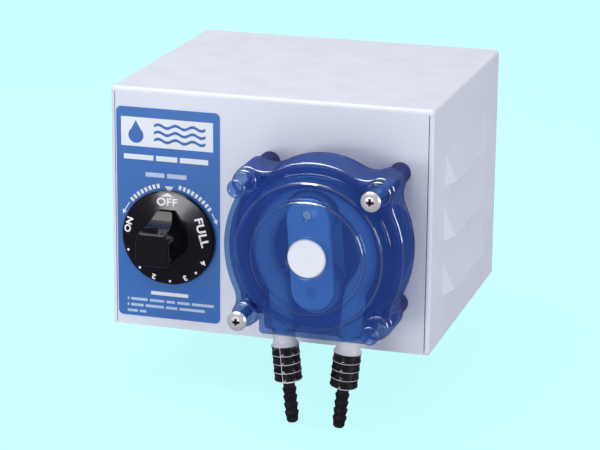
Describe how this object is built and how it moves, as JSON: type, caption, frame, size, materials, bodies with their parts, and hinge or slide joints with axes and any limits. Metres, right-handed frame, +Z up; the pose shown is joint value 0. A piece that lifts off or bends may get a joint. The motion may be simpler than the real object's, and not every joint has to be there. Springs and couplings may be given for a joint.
{
  "type": "peristaltic pump",
  "caption": "Wall-mounted peristaltic dosing pump: louvred sheet-steel case, rate knob, translucent pump head on posts, barbed hose fittings below.",
  "frame": {"origin": "centre of the wall bracket's four screw holes, on the wall plane", "axes": "+X to the right as seen from the front, +Y into the wall, +Z up"},
  "size_m": [0.1976, 0.2401, 0.178],
  "materials": {
    "case_paint": "white powder coat, fine texture",
    "zinc_steel": "zinc plated sheet and nuts",
    "bright_screw": "zinc plated screws",
    "cover_screw": "bright stainless screws",
    "black_nylon": "moulded",
    "ivory_nylon": "moulded",
    "label_film": "printed polycarbonate film",
    "knob_black": "glossy phenolic",
    "brass": "machined",
    "bronze": "sintered",
    "phenolic": "moulded",
    "steel": "ground",
    "acetal_white": "moulded",
    "head_blue": "transparent blue polycarbonate",
    "rotor_white": "moulded acetal",
    "roller_nylon": "moulded",
    "clear_tube": "clear soft tube",
    "fitting_black": "moulded",
    "gear_steel": "cut teeth",
    "die_cast": "die cast",
    "lamination": "stacked laminations",
    "copper": "enamelled wire",
    "fan_plastic": "moulded"
  },
  "bodies": {
    "case": {"case_shell": "case_paint", "base_plate": "case_paint", "case_screws": "bright_screw", "wall_bracket": "zinc_steel", "bracket_lock_screw": "bright_screw", "cable_gland": "black_nylon", "gland_nut": "black_nylon", "terminal_block": "ivory_nylon", "front_label": "label_film", "control_housing": "phenolic", "control_lid": "phenolic", "control_contacts": "brass", "control_terminals": "brass", "control_nut": "zinc_steel", "head_housing": "head_blue", "head_cover": "head_blue", "cover_screws": "cover_screw", "head_nuts": "zinc_steel", "squeeze_tube": "clear_tube", "inlet_fitting": "fitting_black", "outlet_fitting": "fitting_black", "output_bushes": "bronze", "idler_axles": "steel", "gearbox_case": "die_cast", "gearbox_cover": "die_cast", "gearbox_screws": "bright_screw", "gearbox_cover_screws": "bright_screw", "stator_core": "lamination", "coil_bobbin": "ivory_nylon", "coil_winding": "copper", "front_motor_bracket": "zinc_steel", "rear_motor_bracket": "zinc_steel", "motor_bearings": "bronze", "motor_standoffs": "zinc_steel", "motor_screws": "bright_screw"},
    "knob": {"control_knob": "knob_black", "knob_insert": "brass", "control_shaft": "steel", "control_cam": "acetal_white"},
    "pump_rotor": {"rotor_body": "rotor_white", "drive_key": "steel", "roller_axles": "steel", "output_shaft": "steel", "output_gear": "gear_steel"},
    "roller_upper": {"upper_roller": "roller_nylon"},
    "roller_lower": {"lower_roller": "roller_nylon"},
    "second_gear": {"second_gear": "brass"},
    "first_gear": {"first_gear": "brass"},
    "motor": {"motor_pinion": "brass", "motor_shaft": "steel", "motor_rotor": "gear_steel", "cooling_fan": "fan_plastic"}
  },
  "joints": [
    {"name": "knob_turn", "type": "hinge", "parent": "case", "child": "knob", "pos_m": [-0.0596, -0.18, -0.0287], "axis": [0, 1, 0], "range_deg": [0, 285]},
    {"name": "pump_spin", "type": "hinge", "parent": "case", "child": "pump_rotor", "pos_m": [0.0387, -0.2, -0.0165], "axis": [0, 1, 0], "continuous": true, "deforming": ["squeeze_tube"]},
    {"name": "upper_roller_spin", "type": "hinge", "parent": "pump_rotor", "child": "roller_upper", "pos_m": [0.03724, -0.2099, 0.00445], "axis": [0, 1, 0], "continuous": true},
    {"name": "lower_roller_spin", "type": "hinge", "parent": "pump_rotor", "child": "roller_lower", "pos_m": [0.04016, -0.2099, -0.03745], "axis": [0, 1, 0], "continuous": true},
    {"name": "second_gear_spin", "type": "hinge", "parent": "case", "child": "second_gear", "pos_m": [0.01597, -0.16, -0.00337], "axis": [0, 1, 0], "continuous": true},
    {"name": "first_gear_spin", "type": "hinge", "parent": "case", "child": "first_gear", "pos_m": [0.02315, -0.16, 0.01636], "axis": [0, 1, 0], "continuous": true},
    {"name": "motor_spin", "type": "hinge", "parent": "case", "child": "motor", "pos_m": [0.03995, -0.12, 0.01636], "axis": [0, 1, 0], "continuous": true}
  ],
  "couplings": [
    {"joint": "upper_roller_spin", "follows": "pump_spin", "ratio": -2.5556},
    {"joint": "lower_roller_spin", "follows": "pump_spin", "ratio": -2.5556},
    {"joint": "second_gear_spin", "follows": "pump_spin", "ratio": -2.5},
    {"joint": "first_gear_spin", "follows": "pump_spin", "ratio": 6.25},
    {"joint": "motor_spin", "follows": "pump_spin", "ratio": -15.625}
  ]
}
